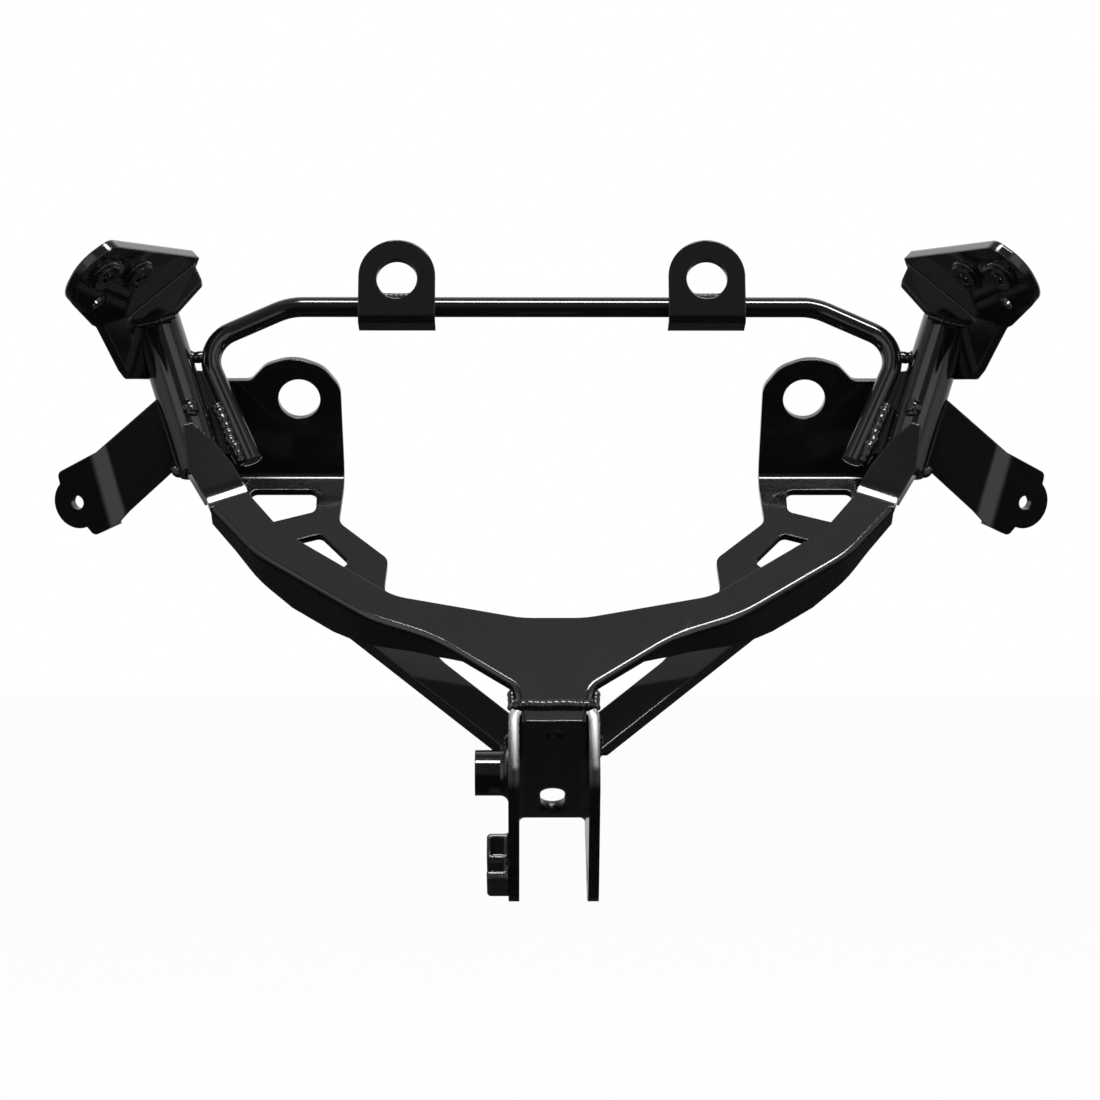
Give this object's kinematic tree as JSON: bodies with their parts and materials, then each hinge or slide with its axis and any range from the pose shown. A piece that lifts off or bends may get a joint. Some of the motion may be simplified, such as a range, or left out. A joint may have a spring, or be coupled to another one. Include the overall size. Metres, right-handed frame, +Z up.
{
  "type": "fairing stay",
  "caption": "Welded black steel stay that carries a motorcycle's front fairing, instruments and mirrors, with a clevis that bolts to the steering head.",
  "frame": {"origin": "middle of the upper clevis bolt's axis, halfway between the two legs of the clevis", "axes": "+X from the stay's left to its right as the picture shows it, along the clevis bolts; +Y forward, away from the rider; +Z up"},
  "size_m": [0.3938, 0.121, 0.2547],
  "materials": {
    "black_steel": "gloss"
  },
  "bodies": {
    "root": {"main_yoke": "black_steel", "clevis_channel": "black_steel", "clevis_collar": "black_steel", "cable_guide": "black_steel", "meter_bar": "black_steel", "mirror_plate_left": "black_steel", "mirror_plate_right": "black_steel", "mirror_nut_left_rear": "black_steel", "mirror_nut_left_front": "black_steel", "mirror_nut_right_rear": "black_steel", "mirror_nut_right_front": "black_steel", "upright_tube_left": "black_steel", "upright_tube_right": "black_steel", "bar_filler_left": "black_steel", "bar_filler_right": "black_steel", "meter_ear_left": "black_steel", "meter_ear_right": "black_steel", "brace_left": "black_steel", "brace_right": "black_steel", "side_tab_left": "black_steel", "side_tab_right": "black_steel"}
  },
  "joints": []
}
